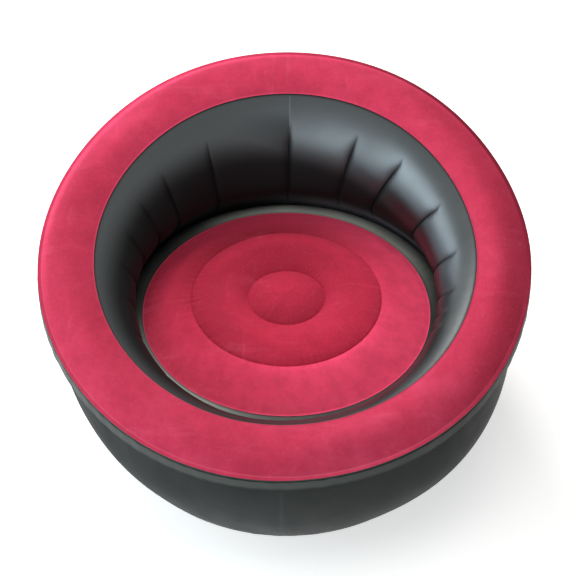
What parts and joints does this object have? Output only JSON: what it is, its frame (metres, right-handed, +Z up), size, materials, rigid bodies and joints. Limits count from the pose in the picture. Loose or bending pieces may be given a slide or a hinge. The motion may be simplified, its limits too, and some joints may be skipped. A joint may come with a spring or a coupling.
{
  "type": "inflatable sofa",
  "caption": "Round air-filled tub sofa: tilted flocked backrest rim, bulging wall, ringed flocked seat, and two air valves with check flaps and caps at the back.",
  "frame": {"origin": "on the floor, at the middle of the sofa's overall length and width", "axes": "+Z up; -Y is the front, the low side of the rim; +X is the sitter's left; the valves are at the back, +Y"},
  "size_m": [0.976, 0.9364, 0.5626],
  "materials": {
    "red_flock": "matte flock",
    "black_film": "satin film",
    "valve_plastic": "satin",
    "valve_rubber": "matte"
  },
  "bodies": {
    "shell": {"rim_top_panel": "red_flock", "lip_band": "black_film", "inner_wall": "black_film", "divider_web": "black_film", "outer_wall": "black_film", "base_panel": "black_film", "seat_side_band": "black_film", "seat_top_panel": "red_flock", "seat_middle_web": "black_film", "seat_centre_web": "black_film", "main_valve_base": "valve_plastic", "ring_valve_stem": "valve_plastic"},
    "main_insert": {"main_valve_insert": "valve_plastic", "main_valve_seal": "valve_rubber", "main_valve_cap_anchor": "valve_plastic"},
    "main_flap": {"main_valve_check_flap": "valve_rubber"},
    "main_cap": {"main_valve_cap": "valve_plastic"},
    "ring_flap": {"ring_valve_check_flap": "valve_rubber"},
    "ring_plug": {"ring_valve_plug": "valve_plastic"}
  },
  "joints": [
    {"name": "insert_pull", "type": "slide", "parent": "shell", "child": "main_insert", "axis": [0, 0.975, -0.2223], "range_m": [0, 0.022]},
    {"name": "main_flap_hinge", "type": "hinge", "parent": "main_insert", "child": "main_flap", "pos_m": [0, 0.41502, 0.16925], "axis": [-1, 0, 0], "range_deg": [0, 40], "stiffness_Nm_per_rad": 0.002},
    {"name": "main_cap_hinge", "type": "hinge", "parent": "main_insert", "child": "main_cap", "pos_m": [0, 0.42908, 0.13508], "axis": [-1, 0, 0], "range_deg": [0, 150]},
    {"name": "ring_flap_hinge", "type": "hinge", "parent": "shell", "child": "ring_flap", "pos_m": [0, 0.45986, 0.55573], "axis": [-1, 0, 0], "range_deg": [0, 40], "stiffness_Nm_per_rad": 0.0005},
    {"name": "ring_plug_hinge", "type": "hinge", "parent": "shell", "child": "ring_plug", "pos_m": [0, 0.46826, 0.54085], "axis": [-1, 0, 0], "range_deg": [0, 150]}
  ]
}
